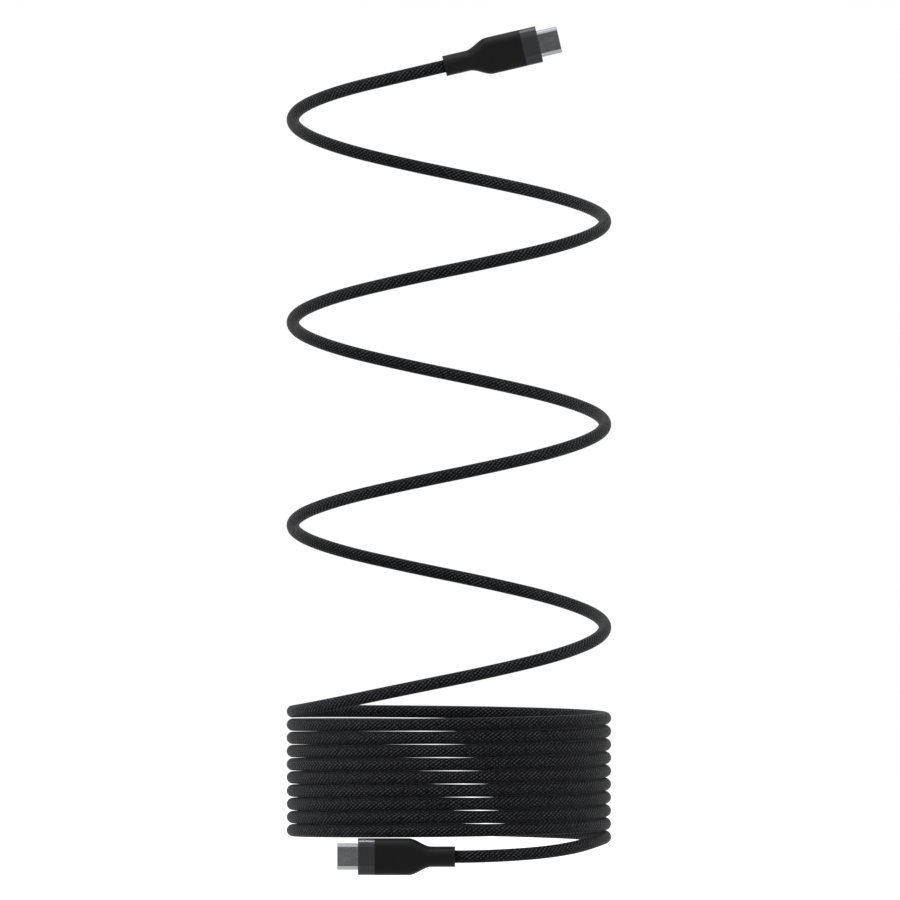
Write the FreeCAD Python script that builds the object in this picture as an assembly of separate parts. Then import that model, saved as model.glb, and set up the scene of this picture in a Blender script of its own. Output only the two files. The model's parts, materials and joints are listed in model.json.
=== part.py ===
import FreeCAD, Part
import math
import os

# A USB-C charging cable, hanging from its top plug. Its braided cord is wound as one helix of
# thirteen turns: the upper turns are pulled open, the lower ones lie stacked.
#
# Frame, in millimetres: the origin is the top plug's seat, where the metal shell leaves the trim
# ring. +Z is up, along the helix. -Y is the front, the side that both plugs' broad faces turn to.
# Every plug piece is made in the plug's own frame, X out of the mouth, Y through the thickness and
# Z across the width, with the seat at 0, and is then placed once for each plug.

V = FreeCAD.Vector

# ---- the cord and its helix ----
CORD_DIAMETER = 3.95
CORD_RADIUS = CORD_DIAMETER / 2
COIL_RADIUS = 49.08           # cord's centre line to the helix's axis
POINTS_PER_TURN = 12
OPEN_PITCH = 63.77            # fall of one turn that is pulled open
PACKED_PITCH = 4.15           # fall of one turn that is stacked
ARC_SHARE = 0.45              # share of the shorter run that each arc takes at a corner

# ---- where the plugs are, seen from the helix ----
TOP_PLUG_TILT = 13.1          # degrees, mouth upwards
AXIS_X = -28.08               # the helix's axis
AXIS_Y = COIL_RADIUS          # both plugs lie on the front of the helix
BOTTOM_PLUG_X = -56.4         # the bottom plug's seat
BOTTOM_PLUG_Z = -252.95

# ---- the helix's heights, by the angle wound from the front, in degrees ----
FIRST_ANGLE = 15              # the first corner lies on the top plug's own line
OPEN_END_ANGLE = 1095         # last corner of the open turns
PACKED_END_ANGLE = 4575       # last corner of the stacked turns
LAST_ANGLE = 4665             # the last corner lies on the bottom plug's own line
OPEN_TURNS_Z = -6.70          # height of the open turns at angle 0
PACKED_TURNS_Z = -208.6       # height of the stacked turns at angle 1170
PACKED_REFERENCE_ANGLE = 1170
LANDING_Z = {1125: -205.6}    # the cord comes down on the stack here
TAIL_Z = {4605: -248.2, 4635: -251.5, LAST_ANGLE: BOTTOM_PLUG_Z}

# ---- the stack's plain solid ----
STACK_RINGS = 9
STACK_TOP_ANGLE = 1440        # the first stacked turn passes the front here
STACK_WEB = 1.6               # thickness of the web that joins the rings
TUBE_END_ANGLE = 1320         # the open turns' tube ends where it has sunk into the stack
TAIL_START_ANGLE = 4380       # the tail's tube starts where it leaves the stack

# ---- plug, outside ----
SHELL_WIDTH = 8.25
SHELL_THICKNESS = 2.40
SHELL_WALL = 0.30
SHELL_FRONT = 6.50
SHELL_BACK = -3.60
SHELL_RIM = 0.12
BODY_WIDTH = 11.5
BODY_THICKNESS = 6.4
BODY_CORNER = 2.9
RING_LENGTH = 5.2
RING_WALL = 0.6
RING_BEVEL = 0.2
SHOULDER_START = -15.8
SHOULDER_END = -22.9
SHOULDER_SECTIONS = 7
NECK_DIAMETER = 6.4
NECK_CORNER = 3.1
NECK_BEVEL = 0.2
GRIP_END = -30.25

# ---- plug, inside ----
FACE_PLATE_FRONT = -0.25
FACE_PLATE_BACK = -1.2
MOULD_CORNER = BODY_CORNER - RING_WALL
MOULD_SHOULDER = -15.0
MOULD_END = -20.4
MOULD_END_DIAMETER = 5.4
HOUSING_FRONT = 6.2
SLOT_WIDTH = 6.75
SLOT_HEIGHT = 0.94
SLOT_BOTTOM = 0.9
CONTACT_PITCH = 0.5
CONTACT_WIDTH = 0.25
CONTACT_TIP = 5.0
CONTACT_TAIL = -5.4
CONTACT_INNER = 0.40
CONTACT_OUTER = 0.55
CONTACT_BUMP = 0.25
LATCH_PLATE_THICKNESS = 0.2
LATCH_ARM_THICKNESS = 0.6
LATCH_ARM_INNER = 3.38
LATCH_ARM_OUTER = 3.60
LATCH_HOOK_INNER = 3.05
GROUND_SPRING_WIDTH = 5.2
GROUND_FINGER_WIDTH = 0.8
GROUND_FINGER_PITCH = 1.8
BOARD_FRONT = -3.7
BOARD_BACK = -12.4
BOARD_WIDTH = 8.6
BOARD_THICKNESS = 2 * CONTACT_INNER
SHIELD_WIDTH = 9.4
SHIELD_THICKNESS = 4.2
SHIELD_CORNER = 0.9
SHIELD_WALL = 0.2
SHIELD_FRONT = -2.4
SHIELD_SHOULDER = -13.4
SHIELD_SLEEVE_START = -16.6
SHIELD_SLEEVE_END = -19.6
FERRULE_FRONT = -16.9
FERRULE_BACK = -19.2
FERRULE_WALL = 0.3
JACKET_FRONT = -17.0
POWER_WIRE_DIAMETER = 1.0
SIGNAL_WIRE_DIAMETER = 0.55
WIRE_PAD_X = -10.6            # where the wires are soldered to the board
WIRE_BEND_X = -13.3           # where they turn in towards the cord
WIRE_GATHER_X = -15.6         # where they run side by side


def export(name, shape):
    """Write one node and print its size."""
    shape.exportStep("parts/" + name + ".step")
    box = shape.BoundBox
    print("%-34s solids %2d  valid %s  volume %9.2f  box %6.1f %6.1f %6.1f"
          % (name, len(shape.Solids), shape.isValid(), shape.Volume,
             box.XLength, box.YLength, box.ZLength))


# ---- tubes along runs and tangent arcs ----

def corner_radius(before, corner, after):
    """The largest arc that the two runs beside a corner allow."""
    run_in = corner - before
    run_out = after - corner
    half_turn = run_in.getAngle(run_out) / 2
    return ARC_SHARE * min(run_in.Length, run_out.Length) / math.tan(half_turn)


def tube(points, diameter, label=None):
    """A round tube along straight runs, with a tangent arc at each inner point."""
    edges = []
    radii = []
    start = points[0]
    for before, corner, after in zip(points, points[1:], points[2:]):
        reach = ARC_SHARE * min((corner - before).Length, (after - corner).Length)
        radius = corner_radius(before, corner, after)
        toward_before = (before - corner).normalize()
        toward_after = (after - corner).normalize()
        arc_start = corner + toward_before * reach
        arc_end = corner + toward_after * reach
        inward = (toward_before + toward_after).normalize()
        to_centre = math.hypot(reach, radius)
        arc_middle = corner + inward * (to_centre - radius)
        edges.append(Part.LineSegment(start, arc_start).toShape())
        edges.append(Part.Arc(arc_start, arc_middle, arc_end).toShape())
        radii.append(radius)
        start = arc_end
    edges.append(Part.LineSegment(start, points[-1]).toShape())
    path = Part.Wire(edges)
    section = Part.Wire(Part.makeCircle(diameter / 2, points[0], points[1] - points[0]))
    solid = path.makePipeShell([section], True, False)
    if label:
        expected = math.pi * diameter ** 2 / 4 * path.Length
        print("%s: length %.1f, arc radii %.1f to %.1f, volume %.1f against %.1f"
              % (label, path.Length, min(radii), max(radii), solid.Volume, expected))
    return solid


# ---- the cord ----

def corner_height(angle):
    """Height of the helix's corner at this angle."""
    if angle == FIRST_ANGLE:
        distance = COIL_RADIUS * math.tan(math.radians(FIRST_ANGLE)) - AXIS_X
        return -distance * math.tan(math.radians(TOP_PLUG_TILT))
    if angle <= OPEN_END_ANGLE:
        return OPEN_TURNS_Z - OPEN_PITCH * angle / 360
    if angle in LANDING_Z:
        return LANDING_Z[angle]
    if angle <= PACKED_END_ANGLE:
        return PACKED_TURNS_Z - PACKED_PITCH * (angle - PACKED_REFERENCE_ANGLE) / 360
    return TAIL_Z[angle]


def helix_point(angle, radius, height):
    """A point beside the helix's axis. Angles run from the front, to the left, to the back."""
    turned = math.radians(angle)
    return V(AXIS_X - radius * math.sin(turned), AXIS_Y - radius * math.cos(turned), height)


def helix_corners(first, last):
    """The corners of the helix, far enough out for its arcs to run at the coil's radius."""
    step = 360 // POINTS_PER_TURN
    outer = COIL_RADIUS / math.cos(math.radians(step / 2))
    return [helix_point(angle, outer, corner_height(angle)) for angle in range(first, last + 1, step)]


def helix_end(angle):
    """A tube's end on the helix, halfway between two corners."""
    half_step = 180 // POINTS_PER_TURN
    height = (corner_height(angle - half_step) + corner_height(angle + half_step)) / 2
    return helix_point(angle, COIL_RADIUS, height)


def make_open_turns(plug_exit):
    """The cord from the top plug, through the open turns, down onto the stack."""
    points = [plug_exit]
    points += helix_corners(FIRST_ANGLE, TUBE_END_ANGLE - 180 // POINTS_PER_TURN)
    points.append(helix_end(TUBE_END_ANGLE))
    return tube(points, CORD_DIAMETER, "open turns")


def make_tail(plug_exit):
    """The cord from under the stack to the bottom plug."""
    points = [helix_end(TAIL_START_ANGLE)]
    points += helix_corners(TAIL_START_ANGLE + 180 // POINTS_PER_TURN, LAST_ANGLE)
    points.append(plug_exit)
    return tube(points, CORD_DIAMETER, "tail")


def make_stack():
    """The stacked turns as one solid: a ring for each turn, joined by a thin web."""
    axis = V(AXIS_X, AXIS_Y, 0)
    top = PACKED_TURNS_Z - PACKED_PITCH * (STACK_TOP_ANGLE - PACKED_REFERENCE_ANGLE) / 360
    height = (STACK_RINGS - 1) * PACKED_PITCH
    web_base = axis + V(0, 0, top - height)
    outer = Part.makeCylinder(COIL_RADIUS + STACK_WEB / 2, height, web_base)
    inner = Part.makeCylinder(COIL_RADIUS - STACK_WEB / 2, height, web_base)
    stack = outer.cut(inner)
    for index in range(STACK_RINGS):
        centre = axis + V(0, 0, top - index * PACKED_PITCH)
        stack = stack.fuse(Part.makeTorus(COIL_RADIUS, CORD_RADIUS, centre))
    return stack


# ---- plug helpers, in the plug's own frame ----

def rounded_outline(x, width, thickness, corner):
    """A rounded rectangle across the plug: width along Z, thickness along Y."""
    flat_t = thickness / 2 - corner
    flat_w = width / 2 - corner
    edges = []
    for quarter, (sign_y, sign_z) in enumerate(((1, 1), (-1, 1), (-1, -1), (1, -1))):
        centre = V(x, sign_y * flat_t, sign_z * flat_w)
        angles = [math.radians(90 * quarter + turn) for turn in (0, 45, 90)]
        points = [centre + V(0, math.cos(angle), math.sin(angle)) * corner for angle in angles]
        if edges and (points[0] - last_point).Length > 1e-6:
            edges.append(Part.LineSegment(last_point, points[0]).toShape())
        edges.append(Part.Arc(*points).toShape())
        last_point = points[2]
    first_point = V(x, flat_t + corner, flat_w)
    if (first_point - last_point).Length > 1e-6:
        edges.append(Part.LineSegment(last_point, first_point).toShape())
    return Part.Wire(edges)


def prism(back, front, width, thickness, corner):
    """A rounded bar along the plug."""
    outline = rounded_outline(back, width, thickness, corner)
    return Part.Face(outline).extrude(V(front - back, 0, 0))


def rod(back, front, radius):
    """A round bar along the plug's centre line."""
    return Part.makeCylinder(radius, front - back, V(back, 0, 0), V(1, 0, 0))


def block(x_range, y_range, z_range):
    """A plain block from its three ranges."""
    low = V(x_range[0], y_range[0], z_range[0])
    sides = [high - least for least, high in (x_range, y_range, z_range)]
    return Part.makeBox(sides[0], sides[1], sides[2], low)


def profile_strip(profile, z_middle, width):
    """A strip whose side view is a polygon of X and Y, as wide as given along Z."""
    points = [V(x, y, z_middle - width / 2) for x, y in profile]
    outline = Part.makePolygon(points + [points[0]])
    return Part.Face(outline).extrude(V(0, 0, width))


def flipped(shape):
    """The same piece on the other broad side: half a turn about the plug's own line."""
    return shape.rotated(V(0, 0, 0), V(1, 0, 0), 180)


# ---- plug pieces ----

def make_shell():
    """Drawn steel shell of the connector, open at the mouth, with a rounded rim."""
    outer = prism(SHELL_BACK, SHELL_FRONT, SHELL_WIDTH, SHELL_THICKNESS, SHELL_THICKNESS / 2)
    inner_thickness = SHELL_THICKNESS - 2 * SHELL_WALL
    inner = prism(SHELL_BACK, SHELL_FRONT, SHELL_WIDTH - 2 * SHELL_WALL, inner_thickness, inner_thickness / 2)
    shell = outer.cut(inner)
    rim = [edge for edge in shell.Edges if edge.BoundBox.XMin > SHELL_FRONT - 1e-6]
    return shell.makeFillet(SHELL_RIM, rim)


def make_contact(z_middle):
    """One sprung contact: a straight strip with a raised nose near its tip."""
    profile = (
        (CONTACT_TAIL, CONTACT_OUTER),
        (CONTACT_TIP, CONTACT_OUTER),
        (CONTACT_TIP, CONTACT_INNER),
        (CONTACT_TIP - 0.25, CONTACT_BUMP),
        (CONTACT_TIP - 0.85, CONTACT_BUMP),
        (CONTACT_TIP - 1.3, CONTACT_INNER),
        (CONTACT_TAIL, CONTACT_INNER),
    )
    return profile_strip(profile, z_middle, CONTACT_WIDTH)


def make_contact_row(numbers):
    """One row of contacts, by their place from 0 to 11 across the plug."""
    strips = [make_contact((number - 5.5) * CONTACT_PITCH) for number in numbers]
    return Part.makeCompound(strips)


def make_latch_plate():
    """Middle plate between the rows, with the two side arms that hold the plug in its socket."""
    plate_half = LATCH_PLATE_THICKNESS / 2
    arm_half = LATCH_ARM_THICKNESS / 2
    latch = block((-3.3, 0.6), (-plate_half, plate_half), (-LATCH_ARM_OUTER, LATCH_ARM_OUTER))
    for side in (1, -1):
        arm_z = sorted((side * LATCH_ARM_INNER, side * LATCH_ARM_OUTER))
        hook_z = sorted((side * LATCH_HOOK_INNER, side * LATCH_ARM_INNER))
        latch = latch.fuse(block((-3.3, 4.9), (-arm_half, arm_half), arm_z))
        latch = latch.fuse(block((4.4, 4.9), (-arm_half, arm_half), hook_z))
    return latch.removeSplitter()


def make_ground_spring():
    """Thin spring behind the mouth, with three fingers that touch the socket's tongue."""
    half = GROUND_SPRING_WIDTH / 2
    spring = block((4.95, 6.05), (0.78, 0.88), (-half, half))
    finger = (
        (5.95, 0.80), (5.95, 0.58), (5.50, 0.42), (5.10, 0.50),
        (5.10, 0.58), (5.50, 0.52), (5.85, 0.64), (5.85, 0.80),
    )
    for place in (-1, 0, 1):
        spring = spring.fuse(profile_strip(finger, place * GROUND_FINGER_PITCH, GROUND_FINGER_WIDTH))
    return spring.removeSplitter()


def make_housing(contents):
    """Moulded block that fills the shell, with the tongue's slot and a seat for each insert."""
    thickness = SHELL_THICKNESS - 2 * SHELL_WALL
    housing = prism(SHELL_BACK, HOUSING_FRONT, SHELL_WIDTH - 2 * SHELL_WALL, thickness, thickness / 2)
    half_w = SLOT_WIDTH / 2
    half_h = SLOT_HEIGHT / 2
    housing = housing.cut(block((SLOT_BOTTOM, HOUSING_FRONT + 1), (-half_h, half_h), (-half_w, half_w)))
    for place in (-1, 0, 1):
        middle = place * GROUND_FINGER_PITCH
        reach = GROUND_FINGER_WIDTH / 2 + 0.05
        window = block((5.05, 6.0), (-0.80, 0.80), (middle - reach, middle + reach))
        housing = housing.cut(window)
    for piece in contents:
        housing = housing.cut(piece)
    return housing


def make_board():
    """Small circuit board that the contacts and wires are soldered to."""
    half_t = BOARD_THICKNESS / 2
    half_w = BOARD_WIDTH / 2
    return block((BOARD_BACK, BOARD_FRONT), (-half_t, half_t), (-half_w, half_w))


def make_chip():
    """The control chip on the board's front."""
    surface = BOARD_THICKNESS / 2
    return block((-9.4, -6.9), (-surface - 0.6, -surface), (-1.25, 1.25))


def make_board_parts():
    """Capacitors and resistors: five on the back of the board and two beside the chip."""
    surface = BOARD_THICKNESS / 2
    parts = [block((-8.0, -7.0), (surface, surface + 0.5), (z - 0.25, z + 0.25))
             for z in (-2.8, -1.4, 0.0, 1.4, 2.8)]
    parts += [block((-8.6, -7.6), (-surface - 0.5, -surface), (z - 0.25, z + 0.25)) for z in (-2.8, 2.8)]
    return Part.makeCompound(parts)


def make_wire(z_board, side, z_core, y_core, diameter):
    """One insulated wire, from its pad on the board into the end of the cord."""
    y_board = side * (BOARD_THICKNESS + diameter) / 2
    points = [
        V(WIRE_PAD_X, y_board, z_board),
        V(WIRE_BEND_X, y_board, z_board),
        V(WIRE_GATHER_X, y_core, z_core),
        V(JACKET_FRONT, y_core, z_core),
    ]
    return tube(points, diameter)


def make_power_wires():
    """The supply wire and its return."""
    wires = [make_wire(2.6 * side, -1, 0.7 * side, -0.62, POWER_WIRE_DIAMETER) for side in (1, -1)]
    return Part.makeCompound(wires)


def make_signal_wires():
    """The two data wires and the two control wires."""
    wires = [make_wire(z, 1, z / 3.2, 0.62, SIGNAL_WIRE_DIAMETER) for z in (-3.2, -1.1, 1.1, 3.2)]
    return Part.makeCompound(wires)


def shield_envelope(wall):
    """Outer form of the shield can and its sleeve, made smaller all round by a wall."""
    width = SHIELD_WIDTH - 2 * wall
    thickness = SHIELD_THICKNESS - 2 * wall
    corner = SHIELD_CORNER - wall
    sleeve = CORD_RADIUS + SHIELD_WALL - wall
    can = prism(SHIELD_SHOULDER, SHIELD_FRONT - wall, width, thickness, corner)
    wide_end = rounded_outline(SHIELD_SHOULDER, width, thickness, corner)
    round_end = rounded_outline(SHIELD_SLEEVE_START, 2 * sleeve, 2 * sleeve, sleeve - 0.05)
    taper = Part.makeLoft([wide_end, round_end], True, True)
    return can.fuse(taper).fuse(rod(SHIELD_SLEEVE_END, SHIELD_SLEEVE_START, sleeve))


def make_shield():
    """Drawn shield can round the board, whose sleeve is crimped to the cord, still in one."""
    can = shield_envelope(0).cut(shield_envelope(SHIELD_WALL))
    mouth = prism(SHIELD_FRONT - 1, SHIELD_FRONT + 1, SHELL_WIDTH, SHELL_THICKNESS, SHELL_THICKNESS / 2)
    return can.cut(mouth).cut(rod(SHIELD_SLEEVE_END - 1, JACKET_FRONT, CORD_RADIUS))


def make_ferrule():
    """Crimped ring round the shield's sleeve."""
    inner = CORD_RADIUS + SHIELD_WALL
    outer = rod(FERRULE_BACK, FERRULE_FRONT, inner + FERRULE_WALL)
    return outer.cut(rod(FERRULE_BACK, FERRULE_FRONT, inner))


def make_jacket_end():
    """The cord's own end, gripped by the crimp and the strain relief."""
    return rod(GRIP_END, JACKET_FRONT, CORD_RADIUS)


def mould_envelope():
    """Outer form of the inner mould: a rounded bar that tapers to the cord."""
    width = BODY_WIDTH - 2 * RING_WALL
    thickness = BODY_THICKNESS - 2 * RING_WALL
    bar = prism(MOULD_SHOULDER, FACE_PLATE_BACK, width, thickness, MOULD_CORNER)
    wide_end = rounded_outline(MOULD_SHOULDER, width, thickness, MOULD_CORNER)
    round_end = rounded_outline(MOULD_END, MOULD_END_DIAMETER, MOULD_END_DIAMETER, MOULD_END_DIAMETER / 2 - 0.05)
    return bar.fuse(Part.makeLoft([wide_end, round_end], True, True))


def make_inner_mould(shell_form, ferrule_form, jacket):
    """Stiff resin moulded over the shield and the crimp, under the grip."""
    mould = mould_envelope().cut(shield_envelope(0))
    for piece in (shell_form, ferrule_form, jacket):
        mould = mould.cut(piece)
    return mould


def make_face_plate(shell_form):
    """Plastic plate inside the trim ring, round the shell."""
    width = BODY_WIDTH - 2 * RING_WALL
    thickness = BODY_THICKNESS - 2 * RING_WALL
    return prism(FACE_PLATE_BACK, FACE_PLATE_FRONT, width, thickness, MOULD_CORNER).cut(shell_form)


def make_trim_ring():
    """Anodised ring round the front of the plug, with a fine bevel at its front edge."""
    ring = prism(-RING_LENGTH, 0, BODY_WIDTH, BODY_THICKNESS, BODY_CORNER)
    front_edges = [edge for edge in ring.Edges if edge.BoundBox.XMin > -1e-6]
    ring = ring.makeChamfer(RING_BEVEL, front_edges)
    width = BODY_WIDTH - 2 * RING_WALL
    thickness = BODY_THICKNESS - 2 * RING_WALL
    return ring.cut(prism(-RING_LENGTH, 0, width, thickness, MOULD_CORNER))


def shoulder_outline(share):
    """Outline of the grip at this share of the way from its body to its neck."""
    ease = share * share * (3 - 2 * share)
    x = SHOULDER_START + (SHOULDER_END - SHOULDER_START) * share
    width = BODY_WIDTH + (NECK_DIAMETER - BODY_WIDTH) * ease
    thickness = BODY_THICKNESS + (NECK_DIAMETER - BODY_THICKNESS) * ease
    corner = BODY_CORNER + (NECK_CORNER - BODY_CORNER) * ease
    return rounded_outline(x, width, thickness, corner)


def make_grip(jacket):
    """Soft overmoulded grip: flat body, S-shaped shoulder and round strain relief."""
    body = prism(SHOULDER_START, -RING_LENGTH, BODY_WIDTH, BODY_THICKNESS, BODY_CORNER)
    shares = [index / (SHOULDER_SECTIONS - 1) for index in range(SHOULDER_SECTIONS)]
    shoulder = Part.makeLoft([shoulder_outline(share) for share in shares], True)
    neck = prism(GRIP_END, SHOULDER_END, NECK_DIAMETER, NECK_DIAMETER, NECK_CORNER)
    neck_edges = [edge for edge in neck.Edges if edge.BoundBox.XMax < GRIP_END + 1e-6]
    neck = neck.makeChamfer(NECK_BEVEL, neck_edges)
    grip = body.fuse(shoulder).fuse(neck)
    return grip.cut(mould_envelope()).cut(jacket)


def make_plug():
    """Every piece of one plug, by name, in the plug's own frame."""
    shell_form = prism(SHELL_BACK, SHELL_FRONT, SHELL_WIDTH, SHELL_THICKNESS, SHELL_THICKNESS / 2)
    jacket = make_jacket_end()
    row_a = make_contact_row(range(12))
    row_b = flipped(make_contact_row([0, 1, 2, 3, 4, 7, 8, 9, 10, 11]))
    latch_plate = make_latch_plate()
    spring = make_ground_spring()
    ground_springs = Part.makeCompound([spring, flipped(spring)])
    shield = make_shield()
    behind = block((-40, 20), (0, 20), (-20, 20))
    ferrule = make_ferrule()
    ferrule_form = rod(FERRULE_BACK, FERRULE_FRONT, CORD_RADIUS + SHIELD_WALL + FERRULE_WALL)
    return {
        "shell": make_shell(),
        "contact_housing": make_housing([row_a, row_b, latch_plate, ground_springs]),
        "contacts_row_a": row_a,
        "contacts_row_b": row_b,
        "latch_plate": latch_plate,
        "ground_springs": ground_springs,
        "circuit_board": make_board(),
        "control_chip": make_chip(),
        "board_parts": make_board_parts(),
        "power_wires": make_power_wires(),
        "signal_wires": make_signal_wires(),
        "shield_front_half": shield.cut(behind),
        "shield_back_half": shield.common(behind),
        "crimp_ferrule": ferrule,
        "cord_end": jacket,
        "inner_mould": make_inner_mould(shell_form, ferrule_form, jacket),
        "face_plate": make_face_plate(shell_form),
        "trim_ring": make_trim_ring(),
        "grip": make_grip(jacket),
    }


# ---- the assembly ----

os.makedirs("parts", exist_ok=True)

top_placement = FreeCAD.Placement(V(0, 0, 0), FreeCAD.Rotation(V(0, 1, 0), -TOP_PLUG_TILT))
bottom_placement = FreeCAD.Placement(V(BOTTOM_PLUG_X, 0, BOTTOM_PLUG_Z), FreeCAD.Rotation(V(0, 1, 0), 180))

plug_pieces = make_plug()
for plug_name, placement in (("top_plug", top_placement), ("bottom_plug", bottom_placement)):
    for piece_name, piece in plug_pieces.items():
        export(plug_name + "_" + piece_name, piece.transformed(placement.toMatrix()))

neck_end = V(GRIP_END, 0, 0)
export("cord_open_turns", make_open_turns(top_placement.multVec(neck_end)))
export("cord_stacked_turns", make_stack())
export("cord_tail", make_tail(bottom_placement.multVec(neck_end)))
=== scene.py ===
import json
import math

import bpy
import numpy as np
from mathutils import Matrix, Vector


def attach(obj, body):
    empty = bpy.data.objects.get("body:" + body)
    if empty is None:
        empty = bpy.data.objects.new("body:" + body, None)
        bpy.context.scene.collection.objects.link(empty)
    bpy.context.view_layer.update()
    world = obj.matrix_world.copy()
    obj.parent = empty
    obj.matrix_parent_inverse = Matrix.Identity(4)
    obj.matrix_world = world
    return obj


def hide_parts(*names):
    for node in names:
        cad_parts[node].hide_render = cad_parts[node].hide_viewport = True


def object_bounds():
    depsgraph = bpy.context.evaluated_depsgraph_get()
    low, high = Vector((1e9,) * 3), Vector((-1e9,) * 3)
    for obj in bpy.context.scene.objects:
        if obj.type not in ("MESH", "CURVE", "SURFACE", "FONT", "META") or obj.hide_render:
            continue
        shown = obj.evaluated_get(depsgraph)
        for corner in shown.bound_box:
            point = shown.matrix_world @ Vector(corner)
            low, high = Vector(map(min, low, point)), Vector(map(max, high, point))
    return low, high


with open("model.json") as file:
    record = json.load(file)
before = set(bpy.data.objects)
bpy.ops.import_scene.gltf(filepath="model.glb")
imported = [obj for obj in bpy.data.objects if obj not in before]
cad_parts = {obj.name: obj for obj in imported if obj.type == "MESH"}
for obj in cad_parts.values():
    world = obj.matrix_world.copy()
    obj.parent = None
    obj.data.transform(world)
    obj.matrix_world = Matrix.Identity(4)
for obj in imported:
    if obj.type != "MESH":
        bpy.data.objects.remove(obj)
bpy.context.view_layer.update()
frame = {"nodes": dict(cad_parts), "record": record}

scene = bpy.context.scene

# ---------------------------------------------------------------------------------------------
# The cord. A sleeve of black nylon yarn, braided over two supply wires, four thin wires, a shield
# and small magnets. It is wound as one helix from plug to plug: the upper turns are pulled open
# and the lower ones lie stacked, held by the magnets. Each end is gripped inside a plug.

CORD_DIAMETER = 0.00395
COIL_RADIUS = 0.04908
HELIX_AXIS = np.array((-0.02808, COIL_RADIUS, 0.0))
TURN_STEP = 30                       # degrees between two corners of the route
FIRST_ANGLE = 15                     # of the first corner, in degrees wound from the front
OPEN_END_ANGLE = 1095                # of the last corner of the open turns
PACKED_ANGLE = 1170                  # where the height of the stacked turns is given
LAST_ANGLE = 4665
OPEN_PITCH = 0.06377
PACKED_PITCH = 0.00415
OPEN_TURNS_Z = -0.00670              # height of the open turns at angle 0
PACKED_TURNS_Z = -0.2086
CORNER_Z = {1125: -0.2056, 4605: -0.2482, 4635: -0.2515}      # down onto the stack, and off it again
STACKED_SHARE = 0.982                # share of its thickness left where the stacked turns press it
STACKED_Z = (-0.2500, -0.2460, -0.2085, -0.2045)    # so pressed between the inner two heights
PLUG_BACK = 0.03025                  # from a plug's seat to the end of its strain relief
HELD_LENGTH = 0.01325                # length of cord that a plug grips
HELD_RINGS = 9
CORD_SIDES = 28
CORD_STEPS = 16                      # rings of the tube between two corners of the route

PLUGS = {mount["name"]: mount for mount in frame["record"]["mounts"] if mount["kind"] == "other"}
top_seat, bottom_seat = (np.array(PLUGS[name]["pos_m"]) for name in ("top_plug", "bottom_plug"))
top_mouth, bottom_mouth = (np.array(PLUGS[name]["axis"]) for name in ("top_plug", "bottom_plug"))
cord_start = top_seat - PLUG_BACK * top_mouth
cord_finish = bottom_seat - PLUG_BACK * bottom_mouth

# The route: the first corner lies on the top plug's own line and the last on the bottom plug's.
# Between them the height falls evenly, first fast through the open turns, then slowly.
angles = np.arange(FIRST_ANGLE, LAST_ANGLE + 1, TURN_STEP)
heights = np.where(angles <= OPEN_END_ANGLE, OPEN_TURNS_Z - OPEN_PITCH * angles / 360,
                   PACKED_TURNS_Z - PACKED_PITCH * (angles - PACKED_ANGLE) / 360)
for angle, height in CORNER_Z.items():
    heights[angles == angle] = height
first_reach = COIL_RADIUS * math.tan(math.radians(FIRST_ANGLE)) - HELIX_AXIS[0]
heights[0] = -first_reach * top_mouth[2] / top_mouth[0]
heights[-1] = bottom_seat[2]
corner_radius = COIL_RADIUS / math.cos(math.radians(TURN_STEP / 2))
turned = np.radians(angles)
corners = np.stack((HELIX_AXIS[0] - corner_radius * np.sin(turned),
                    HELIX_AXIS[1] - corner_radius * np.cos(turned), heights), axis=1)
route = np.vstack((cord_start, corners, cord_finish))


def smooth_line(points, steps):
    """The NURBS line that has these points as its control points, read back as an array of points."""
    curve = bpy.data.curves.new("line", "CURVE")
    curve.dimensions = "3D"
    spline = curve.splines.new("NURBS")
    spline.points.add(len(points) - 1)
    spline.points.foreach_set("co", np.hstack((points, np.ones((len(points), 1)))).ravel())
    spline.order_u = 3
    spline.use_endpoint_u = True
    spline.resolution_u = steps
    holder = bpy.data.objects.new("line", curve)
    mesh = bpy.data.meshes.new_from_object(holder)
    line = np.empty(len(mesh.vertices) * 3)
    mesh.vertices.foreach_get("co", line)
    bpy.data.objects.remove(holder)
    bpy.data.curves.remove(curve)
    bpy.data.meshes.remove(mesh)
    return line.reshape(-1, 3)


def unit(vectors):
    """Each vector at length one."""
    return vectors / np.linalg.norm(vectors, axis=-1, keepdims=True)


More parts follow.
